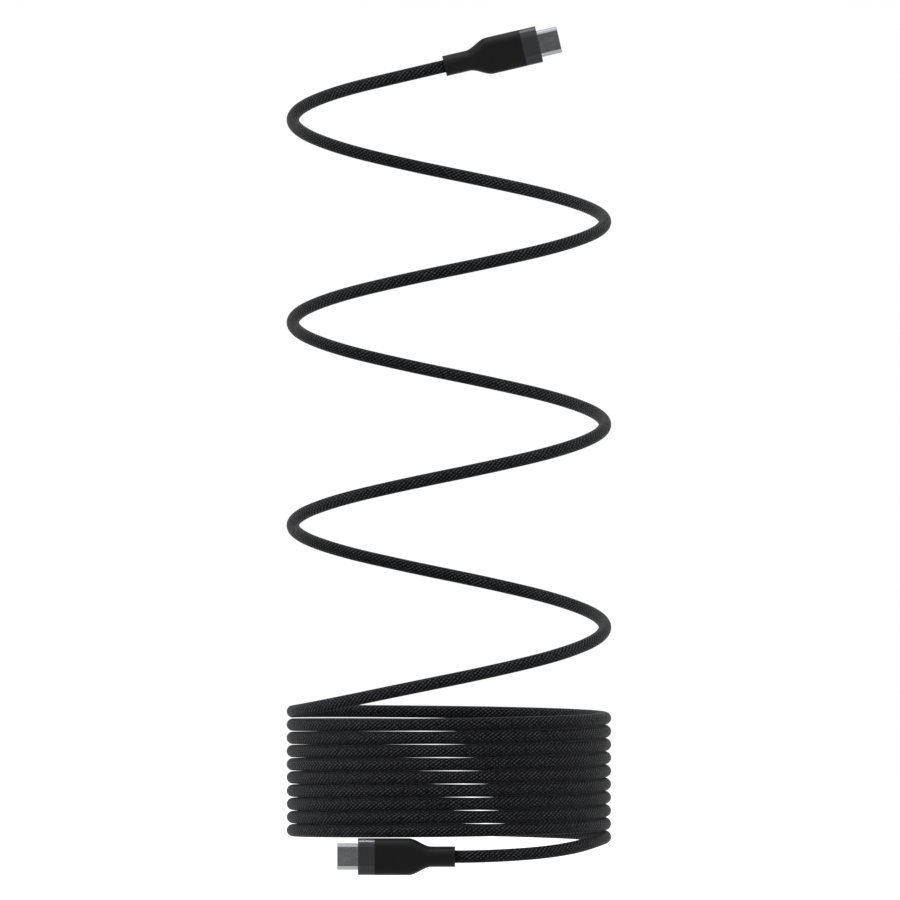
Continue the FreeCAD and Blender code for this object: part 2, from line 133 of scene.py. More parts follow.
def surface(name, rings, along, ends="filled"):
    """A mesh over rings of points: quads join each ring to the next, and the first and last rings
    are filled in, or with ends="joined" they join each other. Its UV map holds the metres along the
    piece, one number for each ring, and the share of a ring's points gone by on the way around."""
    count, sides = rings.shape[:2]
    index = np.arange(count * sides).reshape(count, sides)
    step = np.arange(sides)
    turn_share = np.stack((step, step + 1, step + 1, step), axis=-1) / sides
    if ends == "joined":
        index = np.vstack((index, index[:1]))
    following = np.roll(index, -1, axis=1)
    quads = np.stack((index[:-1], following[:-1], following[1:], index[1:]), axis=-1)
    faces = quads.reshape(-1, 4).tolist()
    if ends == "filled":
        faces += [index[0][::-1].tolist(), index[-1].tolist()]
    mesh = bpy.data.meshes.new(name)
    mesh.from_pydata(rings.reshape(-1, 3).tolist(), [], faces)
    stretches = len(index) - 1
    from_here = np.broadcast_to(along[:stretches, None], (stretches, sides))
    to_there = np.broadcast_to(np.roll(along, -1)[:stretches, None], (stretches, sides))
    u = np.stack((from_here, from_here, to_there, to_there), axis=-1)
    v = np.broadcast_to(turn_share, (stretches, sides, 4))
    values = np.zeros((len(mesh.loops), 2))
    values[:u.size] = np.stack((u, v), axis=-1).reshape(-1, 2)
    mesh.uv_layers.new(name="along_and_around").data.foreach_set("uv", values.ravel())
    mesh.shade_smooth()
    piece = bpy.data.objects.new(name, mesh)
    scene.collection.objects.link(piece)
    return piece


def linear(colour):
    """An sRGB hex colour as linear red, green and blue, with an alpha of one."""
    parts = np.array([int(colour[start:start + 2], 16) for start in (1, 3, 5)]) / 255
    return (*np.where(parts <= 0.04045, parts / 12.92, ((parts + 0.055) / 1.055) ** 2.4), 1.0)


def node(tree, kind, inputs=(), **settings):
    """Add a node with its settings. Its inputs are a list for the first sockets, or a dictionary by
    socket; each is a value, or a socket to link from. Gives the node's first live output."""
    made = tree.nodes.new("ShaderNode" + kind)
    for key, value in settings.items():
        setattr(made, key, value)
    for key, value in inputs.items() if isinstance(inputs, dict) else enumerate(inputs):
        if isinstance(value, bpy.types.NodeSocket):
            tree.links.new(value, made.inputs[key])
        else:
            made.inputs[key].default_value = value
    return next((output for output in made.outputs if output.enabled), None)


def new_finish(name, plain, linked=None):
    """A material whose Principled shader has these plain values. The function linked, if there is
    one, is given the node tree and returns the sockets to link, by the shader's input."""
    finish = bpy.data.materials.new(name)
    finish.use_nodes = True
    tree = finish.node_tree
    shader = tree.nodes["Principled BSDF"]
    for key, value in plain.items():
        shader.inputs[key].default_value = value
    for key, socket in (linked(tree) if linked else {}).items():
        tree.links.new(socket, shader.inputs[key])
    return finish


# Braided nylon: matte and near black, with a painted highlight on the crown of every crossing. Ten yarns
# run each way, one over and one under. The painted highlight is stronger on the first set, as a light from
# the upper left makes it, and the near black between the crowns is partly painted shade in the gaps.
YARNS_EACH_WAY = 10
BRAID_LAY = 0.0161                   # length of cord in which a yarn goes once around it
YARN_RELIEF = 0.00007                # from the crown of a yarn to the gap beside it
CLOUD_SIZE = 0.012                   # slow unevenness in the strength of the painted highlight
STITCH_SIZE = 0.0004                 # each crossing catches the light a little differently


def braid_pattern(tree):
    """Two sets of slanted waves, whose sines are zero in the gaps between yarns. Where both sines
    have one sign, the yarn of the first set lies on top, and elsewhere the second's. A yarn's height
    is the root of its own wave, and humps along it as the other wave does."""
    place = node(tree, "SeparateXYZ", [node(tree, "UVMap", uv_map="along_and_around")]).node.outputs
    slant = node(tree, "Math", [place[0], math.pi * YARNS_EACH_WAY / BRAID_LAY], operation="MULTIPLY")
    around = node(tree, "Math", [place[1], math.pi * YARNS_EACH_WAY], operation="MULTIPLY")
    first = node(tree, "Math", [node(tree, "Math", [around, slant], operation="ADD")], operation="SINE")
    second = node(tree, "Math", [node(tree, "Math", [around, slant], operation="SUBTRACT")],
                  operation="SINE")
    same_sign = node(tree, "Math", [node(tree, "Math", [first, second], operation="MULTIPLY"), 0.0],
                     operation="GREATER_THAN")
    first = node(tree, "Math", [first], operation="ABSOLUTE")
    second = node(tree, "Math", [second], operation="ABSOLUTE")
    across = node(tree, "Mix", {0: same_sign, 2: second, 3: first})
    along = node(tree, "Mix", {0: same_sign, 2: first, 3: second})
    hump = node(tree, "Math", [along, 0.5, 0.5], operation="MULTIPLY_ADD")
    height = node(tree, "Math", [node(tree, "Math", [across, 0.5], operation="POWER"), hump],
                  operation="MULTIPLY")
    return first, second, height


def braided_nylon(tree):
    """The colour of the braid, with its painted highlight on the crowns, and its roughness and relief."""
    first, second, height = braid_pattern(tree)
    # The dash is a painted highlight on the crown of each crossing, stronger on the first set as if lit
    # from the upper left; where it fades, the near black is partly painted shade in the gaps.
    painted_crest_highlight = node(tree, "Math", [node(tree, "Math", [first, 3.0], operation="POWER"),
                               second], operation="MULTIPLY")
    place = node(tree, "TexCoord").node.outputs["Object"]
    for size, detail, least, most in ((CLOUD_SIZE, 3.0, 0.8, 1.15), (STITCH_SIZE, 0.0, 0.1, 1.9)):
        noise = node(tree, "TexNoise", {"Vector": place, "Scale": 1 / size, "Detail": detail})
        noise = node(tree, "MapRange", [noise, 0.3, 0.7, least, most])
        painted_crest_highlight = node(tree, "Math", [painted_crest_highlight, noise], operation="MULTIPLY")
    colour = node(tree, "Mix", {0: painted_crest_highlight, 6: linear("#060607"), 7: linear("#444548")}, data_type="RGBA")
    roughness = node(tree, "MapRange", [height, 0.0, 1.0, 0.9, 0.45])
    relief = node(tree, "Bump", {"Strength": 1.0, "Distance": YARN_RELIEF, "Height": height})
    return {"Base Color": colour, "Roughness": roughness, "Normal": relief}


nylon = new_finish("braided nylon yarn", {"Specular IOR Level": 0.05, "Sheen Weight": 0.08,
                                          "Sheen Roughness": 0.3}, braided_nylon)

cord_line = smooth_line(route, CORD_STEPS)
heading = unit(np.gradient(cord_line, axis=0))
outward = (cord_line - HELIX_AXIS) * (1, 1, 0)
outward = unit(outward - heading * np.sum(outward * heading, axis=1, keepdims=True))
sideways = np.cross(heading, outward)
circle = np.linspace(0, 2 * np.pi, CORD_SIDES, endpoint=False)[None, :, None]
left_by_stack = np.interp(cord_line[:, 2], STACKED_Z, (1, STACKED_SHARE, STACKED_SHARE, 1))
cord_radius = CORD_DIAMETER / 2 * left_by_stack[:, None, None]
cord_rings = cord_line[:, None] + cord_radius * (
    np.cos(circle) * outward[:, None] + np.sin(circle) * sideways[:, None])
distance = np.concatenate(([0.0], np.cumsum(np.linalg.norm(np.diff(cord_line, axis=0), axis=1))))
cord = surface("braided_cord", cord_rings, distance)
cord.data.materials.append(nylon)
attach(cord, "root")
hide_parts("cord_open_turns", "cord_stacked_turns", "cord_tail")

# The lengths of cord that the plugs hold go straight on from the cord's own first and last ring.
# The top plug's is turned round, so that it runs the cord's way and the braid goes on through it.
held_steps = np.linspace(0, HELD_LENGTH, HELD_RINGS)[:, None, None]
for name, ring, mouth, reached in (("top_plug", cord_rings[0], top_mouth, 0.0),
                                   ("bottom_plug", cord_rings[-1], bottom_mouth, distance[-1])):
    held_rings = ring + held_steps * mouth
    held_at = reached + held_steps.ravel()
    if name == "top_plug":
        held_rings = held_rings[::-1]
        held_at = -held_at[::-1]
    held = surface(name + "_held_cord", held_rings, held_at)
    held.data.materials.append(nylon)
    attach(held, "root")
    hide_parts(name + "_cord_end")

# ---------------------------------------------------------------------------------------------
# The wires in a plug. Two supply wires in red insulation and four thin ones in white, extruded
# PVC, fanned out from the cord's end to their pads on the board.


def dress(piece_name, finish):
    """Give both plugs' nodes of this name one finish."""
    for plug in PLUGS:
        slots = frame["nodes"][plug + "_" + piece_name].data.materials
        slots.clear()
        slots.append(finish)


def extruded_pvc(dark, light):
    """Glossy insulation with uneven dye and a faintly wavy skin."""
    def linked(tree):
        place = node(tree, "TexCoord").node.outputs["Object"]
        dye = node(tree, "TexNoise", {"Vector": place, "Scale": 1 / 0.002, "Detail": 2.0})
        colour = node(tree, "Mix", {0: dye, 6: linear(dark), 7: linear(light)}, data_type="RGBA")
        relief = node(tree, "Bump", {"Strength": 0.4, "Distance": 0.00002, "Height": dye})
        return {"Base Color": colour, "Normal": relief}
    return linked


for wires, finish_name, roughness, dark, light in (
        ("power_wires", "red PVC insulation", 0.32, "#8c0f12", "#a81a1c"),
        ("signal_wires", "white PVC insulation", 0.34, "#cfcfca", "#e2e1dc")):
    dress(wires, new_finish(finish_name, {"Roughness": roughness}, extruded_pvc(dark, light)))

# ---------------------------------------------------------------------------------------------
# The circuit board. Glass laminate under a green solder mask, with copper tracks that show
# through as fine raised lines. The chip and the small ceramic parts are soldered to it.

TRACK_SPACING = 0.0005
WAVE_SPACING = 0.314                 # between two bands of the wave pattern at a scale of 1


def solder_mask(tree):
    """Green lacquer, paler over the copper tracks."""
    place = node(tree, "TexCoord").node.outputs["Object"]
    tracks = node(tree, "TexWave", {"Vector": place, "Scale": WAVE_SPACING / TRACK_SPACING,
                                    "Distortion": 3.0, "Detail": 1.0}, bands_direction="Z")
    edge = node(tree, "MapRange", [tracks, 0.45, 0.6, 0.0, 1.0])
    colour = node(tree, "Mix", {0: edge, 6: linear("#0f3d22"), 7: linear("#1c5a33")}, data_type="RGBA")
    relief = node(tree, "Bump", {"Strength": 0.6, "Distance": 0.00003, "Height": edge})
    return {"Base Color": colour, "Normal": relief}


def moulded_epoxy(tree):
    """Dark resin with the fine grit of its filler."""
    place = node(tree, "TexCoord").node.outputs["Object"]
    grit = node(tree, "TexNoise", {"Vector": place, "Scale": 1 / 0.00008, "Detail": 2.0})
    colour = node(tree, "Mix", {0: grit, 6: linear("#232325"), 7: linear("#343437")}, data_type="RGBA")
    relief = node(tree, "Bump", {"Strength": 0.5, "Distance": 0.00001, "Height": grit})
    return {"Base Color": colour, "Normal": relief}


def fired_ceramic(tree):
    """Buff ceramic, mottled from firing."""
    place = node(tree, "TexCoord").node.outputs["Object"]
    mottle = node(tree, "TexNoise", {"Vector": place, "Scale": 1 / 0.0003, "Detail": 3.0})
    colour = node(tree, "Mix", {0: mottle, 6: linear("#8a6b4a"), 7: linear("#b08d66")}, data_type="RGBA")
    roughness = node(tree, "MapRange", [mottle, 0.0, 1.0, 0.35, 0.6])
    return {"Base Color": colour, "Roughness": roughness}


dress("circuit_board", new_finish("green solder mask", {"Roughness": 0.3}, solder_mask))
dress("control_chip", new_finish("moulded epoxy", {"Roughness": 0.55}, moulded_epoxy))
dress("board_parts", new_finish("fired ceramic", {}, fired_ceramic))

# ---------------------------------------------------------------------------------------------
# The contacts, the latch plate and the ground springs. Stamped strip: the contacts are gold
# plated, the rest is bright spring steel. They sit in slots of the contact housing.


def stamped_strip(dark, light):
    """Bright metal with faint rolling marks, drawn wide enough to show: 1.7 mm by 0.17 mm."""
    def linked(tree):
        place = node(tree, "TexCoord").node.outputs["Object"]
        stretched = node(tree, "Mapping", {"Vector": place, "Scale": (600.0, 6000.0, 6000.0)})
        rolling = node(tree, "TexNoise", {"Vector": stretched, "Scale": 1.0, "Detail": 2.0})
        colour = node(tree, "Mix", {0: rolling, 6: linear(dark), 7: linear(light)}, data_type="RGBA")
        roughness = node(tree, "MapRange", [rolling, 0.2, 0.8, 0.18, 0.34])
        return {"Base Color": colour, "Roughness": roughness}
    return linked


gold = new_finish("gold plate", {"Metallic": 1.0}, stamped_strip("#d9ab52", "#ecc979"))
spring_steel = new_finish("bright spring steel", {"Metallic": 1.0}, stamped_strip("#b4b4b6", "#d0d0d2"))
dress("contacts_row_a", gold)
dress("contacts_row_b", gold)
dress("latch_plate", spring_steel)
dress("ground_springs", spring_steel)

# ---------------------------------------------------------------------------------------------
# The contact housing. One block of black resin, injection moulded, that fills the shell and
# leaves a slot for the socket's tongue. It is satin from the mould.


def fine_grain(dark, light, size, relief_height):
    """Moulded resin: a fine even grain from the tool, in colour and in relief. It is drawn coarser
    than a real one, so that it shows from close by."""
    def linked(tree):
        place = node(tree, "TexCoord").node.outputs["Object"]
        grain = node(tree, "TexNoise", {"Vector": place, "Scale": 1 / size, "Detail": 3.0})
        colour = node(tree, "Mix", {0: grain, 6: linear(dark), 7: linear(light)}, data_type="RGBA")
        relief = node(tree, "Bump", {"Strength": 1.0, "Distance": relief_height, "Height": grain})
        return {"Base Color": colour, "Normal": relief}
    return linked


black_resin = new_finish("moulded black LCP resin", {"Roughness": 0.5, "Specular IOR Level": 0.4},
                         fine_grain("#0c0c0d", "#161617", 0.0002, 0.00001))
dress("contact_housing", black_resin)

# ---------------------------------------------------------------------------------------------
# The connector shell. Stainless steel, deep drawn to an oval tube and nickel plated, with a
# soft rim at the mouth. The housing is pushed into it from behind.

MM = 0.001                           # the sizes of a plug's pieces are in millimetres
SHELL_WIDTH = 8.25
SHELL_THICKNESS = 2.40
SHELL_WALL = 0.30
SHELL_FRONT = 6.50
SHELL_BACK = -3.60
SHELL_RIM = 0.16
CUT_EDGE = 0.02                      # rounding of the sheet's cut edge
NEARLY_ROUND = 0.985                 # the shell's corners leave a trace of flat at its sides
ARC_STEPS = 12                       # faces of a quarter turn across a plug
FLAT_MARGIN = 0.12                   # how far a flat's supporting point stands off its corner


def rounded_rings(x, width, thickness, corner):
    """Rings of a rounded rectangle across a plug, one for each place along it. Each quarter is an
    arc about its corner's centre, and one point more on the flat at each end of the arc, so that
    the flats stay flat in smooth shading."""
    x, width, thickness, corner = (np.asarray(values, float)[:, None, None]
                                   for values in np.broadcast_arrays(x, width, thickness, corner))
    flat_y = thickness / 2 - corner
    flat_z = width / 2 - corner
    quarter = np.arange(4)[None, :, None]
    sign_y = np.array((1, -1, -1, 1))[None, :, None]
    sign_z = np.array((1, 1, -1, -1))[None, :, None]
    turn = np.linspace(0, np.pi / 2, ARC_STEPS + 1)
    angle = np.concatenate(([0.0], turn, [np.pi / 2]))[None, None, :] + quarter * np.pi / 2
    at_start = np.minimum(FLAT_MARGIN, np.where(quarter % 2 == 0, flat_z, flat_y) / 2)
    at_end = np.minimum(FLAT_MARGIN, np.where(quarter % 2 == 0, flat_y, flat_z) / 2)
    slide = np.zeros(angle.shape) + np.zeros(x.shape)
    slide[:, :, :1] = -at_start
    slide[:, :, -1:] = at_end
    y = sign_y * flat_y + corner * np.cos(angle) - slide * np.sin(angle)
    z = sign_z * flat_z + corner * np.sin(angle) + slide * np.cos(angle)
    rings = np.stack(np.broadcast_arrays(x, y, z), axis=-1)
    return rings.reshape(len(x), -1, 3)


def softened(outline, radii, steps=4, margin=0.1):
    """A closed outline with each corner rounded by a short curve that is tangent to both its sides,
    and one point more on each side of the curve."""
    outline = np.asarray(outline, float)
    radii = np.asarray(radii, float)[:, None]
    towards_last = unit(np.roll(outline, 1, axis=0) - outline)
    towards_next = unit(np.roll(outline, -1, axis=0) - outline)
    share = np.linspace(0, 1, steps + 1)[None, :, None]
    start = outline + radii * towards_last
    finish = outline + radii * towards_next
    curve = ((1 - share) ** 2 * start[:, None] + 2 * share * (1 - share) * outline[:, None]
             + share ** 2 * finish[:, None])
    before = (start + margin * towards_last)[:, None]
    after = (finish + margin * towards_next)[:, None]
    return np.concatenate((before, curve, after), axis=1).reshape(-1, 2)


def in_plug(rings, plug):
    """Rings in a plug's own frame, in millimetres: X out of the mouth, Y through the thickness and Z
    across the width, moved to the plug's place."""
    mouth = np.array(PLUGS[plug]["axis"])
    through = np.array((0.0, 1.0, 0.0))
    basis = np.stack((mouth, through, np.cross(mouth, through)))
    return np.array(PLUGS[plug]["pos_m"]) + (rings * MM) @ basis


def plug_piece(plug, piece_name, new_name, rings, finish):
    """One closed piece of a plug from its loop of rings, in place of the plug's node."""
    steps = np.linalg.norm(np.diff(rings[:, 0], axis=0), axis=1)
    along = np.concatenate(([0.0], np.cumsum(steps))) * MM
    piece = surface(plug + "_" + new_name, in_plug(rings, plug), along, ends="joined")
    piece.data.materials.append(finish)
    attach(piece, "root")
    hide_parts(plug + "_" + piece_name)
    return piece


# Nickel plate over drawn steel: a soft metal shine, with faint draw lines along the shell. They are
# drawn coarser than real ones, so that they show: 3 mm long, and 2 mm wide on the flat sides.
DRAW_LINES_PER_METRE = 300.0
DRAW_LINES_AROUND = 160.0            # most of them round the corners, where the ring has its points


def drawn_nickel(tree):
    """Draw lines run along the shell, so the noise is stretched along it."""
    place = node(tree, "UVMap", uv_map="along_and_around")
    stretched = node(tree, "Mapping", {"Vector": place,
                                       "Scale": (DRAW_LINES_PER_METRE, DRAW_LINES_AROUND, 1.0)})
    lines = node(tree, "TexNoise", {"Vector": stretched, "Scale": 1.0, "Detail": 3.0})
    colour = node(tree, "Mix", {0: lines, 6: linear("#a8a9ac"), 7: linear("#b2b3b6")}, data_type="RGBA")
    roughness = node(tree, "MapRange", [lines, 0.2, 0.8, 0.13, 0.18])
    relief = node(tree, "Bump", {"Strength": 0.3, "Distance": 0.000004, "Height": lines})
    return {"Base Color": colour, "Roughness": roughness, "Normal": relief}


nickel = new_finish("nickel-plated drawn steel", {"Metallic": 1.0}, drawn_nickel)
shell_outline = softened(
    [(SHELL_BACK, 0), (SHELL_FRONT, 0), (SHELL_FRONT, SHELL_WALL), (SHELL_BACK, SHELL_WALL)],
    [CUT_EDGE, SHELL_RIM, 2 * CUT_EDGE, CUT_EDGE], margin=0.15 * SHELL_WALL)
shell_x, shell_inset = shell_outline.T
shell_rings = rounded_rings(shell_x, SHELL_WIDTH - 2 * shell_inset, SHELL_THICKNESS - 2 * shell_inset,
                            NEARLY_ROUND * (SHELL_THICKNESS / 2 - shell_inset))
shells = {plug: plug_piece(plug, "shell", "connector_shell", shell_rings, nickel)
          for plug in PLUGS}

# ---------------------------------------------------------------------------------------------
# The shield can and the crimp. Two halves of tinned steel sheet close over the board, and a brass
# ferrule is crimped round their sleeve and the cord's end.


def tinned_sheet(dark, light):
    """Tin or brass with a mottled bloom from the bath."""
    def linked(tree):
        place = node(tree, "TexCoord").node.outputs["Object"]
        bloom = node(tree, "TexNoise", {"Vector": place, "Scale": 1 / 0.0012, "Detail": 4.0})
        colour = node(tree, "Mix", {0: bloom, 6: linear(dark), 7: linear(light)}, data_type="RGBA")
        roughness = node(tree, "MapRange", [bloom, 0.3, 0.7, 0.28, 0.5])
        return {"Base Color": colour, "Roughness": roughness}
    return linked


tin = new_finish("tinned steel sheet", {"Metallic": 1.0}, tinned_sheet("#a9a9a6", "#c6c6c3"))
dress("shield_front_half", tin)
dress("shield_back_half", tin)
dress("crimp_ferrule", new_finish("crimped brass", {"Metallic": 1.0}, tinned_sheet("#b08a45", "#cfae68")))

# ---------------------------------------------------------------------------------------------
# The inner mould and the face plate. Stiff black resin: the mould is made round the shield and
# the crimp, and the plate closes its front inside the trim ring, round the shell.

stiff_resin = new_finish("low-pressure moulded resin", {"Roughness": 0.6, "Specular IOR Level": 0.35},
                         fine_grain("#1c1c1d", "#29292a", 0.0006, 0.00002))
dress("inner_mould", stiff_resin)
satin_abs = new_finish("moulded black ABS", {"Roughness": 0.45, "Specular IOR Level": 0.4},
                       fine_grain("#0b0b0c", "#141415", 0.00015, 0.00001))
dress("face_plate", satin_abs)

# ---------------------------------------------------------------------------------------------
# The trim ring. Aluminium, extruded and cut, blasted to a silk surface and anodised dark blue
# grey. It is pressed over the front of the mould, flush with the grip. The dyed layer hides most of
# the metal, so that its shine is dim and soft.

BODY_WIDTH = 11.5
BODY_THICKNESS = 6.4
BODY_CORNER = 2.9
RING_LENGTH = 5.2
RING_WALL = 0.6
RING_EDGE = 0.2                      # rounding at the front, round the shell
RING_BACK_EDGE = 0.05
RING_INNER_EDGE = 0.06


def anodised(tree):
    """Dye in a blasted skin: a dark even colour, with a fine unevenness in its shine. The grit's marks
    are drawn two or three times their real size, so that they show."""
    place = node(tree, "TexCoord").node.outputs["Object"]
    grit = node(tree, "TexNoise", {"Vector": place, "Scale": 1 / 0.00018, "Detail": 2.0})
    colour = node(tree, "Mix", {0: grit, 6: linear("#36383d"), 7: linear("#3a3c41")}, data_type="RGBA")
    roughness = node(tree, "MapRange", [grit, 0.2, 0.8, 0.2, 0.24])
    relief = node(tree, "Bump", {"Strength": 0.2, "Distance": 0.000002, "Height": grit})
    return {"Base Color": colour, "Roughness": roughness, "Normal": relief}


aluminium = new_finish("anodised blue-grey aluminium", {"Metallic": 0.3, "Specular IOR Level": 0.2},
                       anodised)
ring_outline = softened([(-RING_LENGTH, 0), (0, 0), (0, RING_WALL), (-RING_LENGTH, RING_WALL)],
                        [RING_BACK_EDGE, RING_EDGE, RING_INNER_EDGE, RING_BACK_EDGE], margin=0.08)
ring_x, ring_inset = ring_outline.T
ring_rings = rounded_rings(ring_x, BODY_WIDTH - 2 * ring_inset, BODY_THICKNESS - 2 * ring_inset,
                           BODY_CORNER - ring_inset)
rings = {plug: plug_piece(plug, "trim_ring", "anodised_ring", ring_rings, aluminium)
         for plug in PLUGS}

# ---------------------------------------------------------------------------------------------
# The grip. Soft black thermoplastic rubber, moulded over the inner mould in one piece: a flat
# body, an S-shaped shoulder and a round strain relief that the cord comes out of.

SHOULDER_START = -15.8
SHOULDER_END = -22.9
NECK_DIAMETER = 6.4
NECK_CORNER = 3.1
NECK_EDGE = 0.2
NECK_MIDDLE = -26.5
GRIP_END = -30.25
GRIP_FRONT_EDGE = 0.05               # rounding where the grip meets the trim ring
MOULD_SHOULDER = -15.0
MOULD_END = -20.4
MOULD_END_DIAMETER = 5.4
CORD_HOLE = 4.07
HOLE_LIP = 0.2                       # rounding at the mouth of the cord's hole


def soft_rubber(tree):
    """Matte skin with faint cloudy unevenness and a fine even grain, which is drawn coarser than a
    real one, so that it shows from close by."""
    place = node(tree, "TexCoord").node.outputs["Object"]
    grain = node(tree, "TexNoise", {"Vector": place, "Scale": 1 / 0.0002, "Detail": 2.0})
    cloud = node(tree, "TexNoise", {"Vector": place, "Scale": 1 / 0.006, "Detail": 2.0})
    colour = node(tree, "Mix", {0: grain, 6: linear("#101011"), 7: linear("#161618")}, data_type="RGBA")
    roughness = node(tree, "MapRange", [cloud, 0.3, 0.7, 0.42, 0.5])
    relief = node(tree, "Bump", {"Strength": 0.5, "Distance": 0.000012, "Height": grain})
    return {"Base Color": colour, "Roughness": roughness, "Normal": relief}


rubber = new_finish("soft-touch black rubber", {"Specular IOR Level": 0.12}, soft_rubber)


def eased(share):
    """The smooth step that starts and ends level."""
    return share * share * (3 - 2 * share)


def outside(x, inset):
    """The grip's outer size at each place along it: the body's, easing over the shoulder to the
    neck's, all made smaller by an inset."""
    share = eased(np.clip((x - SHOULDER_START) / (SHOULDER_END - SHOULDER_START), 0, 1))
    width = BODY_WIDTH + (NECK_DIAMETER - BODY_WIDTH) * share
    thickness = BODY_THICKNESS + (NECK_DIAMETER - BODY_THICKNESS) * share
    corner = BODY_CORNER + (NECK_CORNER - BODY_CORNER) * share
    return np.stack((x, width - 2 * inset, thickness - 2 * inset, corner - inset), axis=1)


def inside(x):
    """The size of the hollow round the inner mould, which tapers from flat to nearly round."""
    share = np.clip((x - MOULD_SHOULDER) / (MOULD_END - MOULD_SHOULDER), 0, 1)
    sizes = np.array((BODY_WIDTH - 2 * RING_WALL, BODY_THICKNESS - 2 * RING_WALL, BODY_CORNER - RING_WALL))
    end = np.array((MOULD_END_DIAMETER, MOULD_END_DIAMETER, MOULD_END_DIAMETER / 2 - 0.05))
    return np.column_stack((x, sizes + (end - sizes) * share[:, None]))


def hole(x, diameter):
    """The hole for the cord, round but for a trace of flat."""
    diameter = np.broadcast_to(diameter, x.shape)
    return np.stack((x, diameter, diameter, 0.49 * diameter), axis=1)


# The rings go forward along the outside, from the strain relief's end to the trim ring, and back
# through the hollow and the cord's hole. A ring close to an edge keeps the side by it straight,
# and the ones between only split long faces.
edge_turn = np.linspace(0, np.pi / 2, 6)
front_turn = np.linspace(0, np.pi / 2, 4)
lip_turn = np.linspace(0, np.pi / 2, 5)
shoulder_x = np.linspace(SHOULDER_END, SHOULDER_START, 25)
grip_sizes = np.vstack((
    outside(GRIP_END + NECK_EDGE * (1 - np.cos(edge_turn)), NECK_EDGE * (1 - np.sin(edge_turn))),
    outside(np.array((GRIP_END + 1.6 * NECK_EDGE, NECK_MIDDLE)), 0),
    outside(shoulder_x, 0),
    outside(np.array((-12.0, -8.0, -RING_LENGTH - 3 * GRIP_FRONT_EDGE)), 0),
    outside(-RING_LENGTH - GRIP_FRONT_EDGE * (1 - np.sin(front_turn)),
            GRIP_FRONT_EDGE * (1 - np.cos(front_turn))),
    inside(np.array((-RING_LENGTH, -10.0, MOULD_SHOULDER, (MOULD_SHOULDER + MOULD_END) / 2, MOULD_END))),
    hole(np.array((MOULD_END, MOULD_END - 0.1, GRIP_END + 0.5)), CORD_HOLE),
    hole(GRIP_END + HOLE_LIP * (1 - np.sin(lip_turn)), CORD_HOLE + 2 * HOLE_LIP * (1 - np.cos(lip_turn))),
    hole(np.array((GRIP_END,)), NECK_DIAMETER - 2 * NECK_EDGE - HOLE_LIP),
))
grip_rings = rounded_rings(*grip_sizes.T)
grips = {plug: plug_piece(plug, "grip", "soft_grip", grip_rings, rubber) for plug in PLUGS}

# ---------------------------------------------------------------------------------------------
# The studio. A grey floor under the hanging cable and a white room round it, a softbox overhead, a
# key light from the upper left and a strip light on each side. Dim cards, which only reflections
# show, stand in front and behind, and lamps overhead draw the highlights along the plugs.

AMBIENT = 0.9                        # the white room's light on the cable


def seen_rays(tree):
    """One where a camera, mirror or glass ray looks, and zero for light that falls on things."""
    path = node(tree, "LightPath").node.outputs
    seen = node(tree, "Math", [path["Is Camera Ray"], path["Is Glossy Ray"]], operation="MAXIMUM")
    return node(tree, "Math", [seen, path["Is Transmission Ray"]], operation="MAXIMUM")


room = bpy.data.worlds.new("white room")
room.use_nodes = True
scene.world = room
strength = node(room.node_tree, "Mix", {0: seen_rays(room.node_tree), 2: AMBIENT, 3: 1.0})
room.node_tree.links.new(strength, room.node_tree.nodes["Background"].inputs["Strength"])
room.node_tree.nodes["Background"].inputs["Color"].default_value = (1, 1, 1, 1)


def stage_piece(name, rings, finish):
    """A floor or card of the studio, from rings of points."""
    piece = surface(name, rings, np.arange(len(rings), dtype=float))
    piece.data.materials.append(finish)
    return piece


# Grey paint, lit up by itself where it is looked at, so that it meets the white room with no edge
# and keeps the cable's shadow near the cable. The floor is a thin disc, from its underside's
# middle over the rim to the middle of its top.
FLOOR_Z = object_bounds()[0][2] - 0.035
FLOOR_RADIUS = 3.0
FLOOR_MIDDLE = 0.02                  # radius of the innermost ring, which is filled in
FLOOR_THICKNESS = 0.02
SHADOW_NEAR = 0.45                   # distances from the middle between which the shadow fades out
SHADOW_FAR = 0.8
NEAR_GLOW = 0.55                     # the floor's own light inside the nearer of them
floor_turn = np.linspace(0, 2 * np.pi, 96, endpoint=False)[None, :]
top_reach = np.linspace(FLOOR_RADIUS, FLOOR_MIDDLE, 12)
floor_reach = np.concatenate(((FLOOR_MIDDLE, FLOOR_RADIUS), top_reach))[:, None]
floor_height = np.repeat((FLOOR_Z - FLOOR_THICKNESS, FLOOR_Z), (2, len(top_reach)))[:, None]
floor_rings = np.stack(np.broadcast_arrays(
    floor_reach * np.cos(floor_turn), floor_reach * np.sin(floor_turn), floor_height), axis=-1)
pale = bpy.data.materials.new("pale floor")
pale.use_nodes = True
pale_tree = pale.node_tree
pale_shader = pale_tree.nodes["Principled BSDF"]
pale_shader.inputs["Base Color"].default_value = linear("#a6a6a6")
pale_shader.inputs["Roughness"].default_value = 0.9
pale_shader.inputs["Specular IOR Level"].default_value = 0.0
from_middle = node(pale_tree, "VectorMath", [node(pale_tree, "TexCoord").node.outputs["Object"]],
                   operation="LENGTH").node.outputs["Value"]
own_light = node(pale_tree, "MapRange", [from_middle, SHADOW_NEAR, SHADOW_FAR, NEAR_GLOW, 1.0])
shown = node(pale_tree, "Math", [own_light, seen_rays(pale_tree)], operation="MULTIPLY")
pale_tree.links.new(shown, pale_shader.inputs["Emission Strength"])
pale_shader.inputs["Emission Color"].default_value = (1, 1, 1, 1)
stage_piece("floor", floor_rings, pale).visible_glossy = False

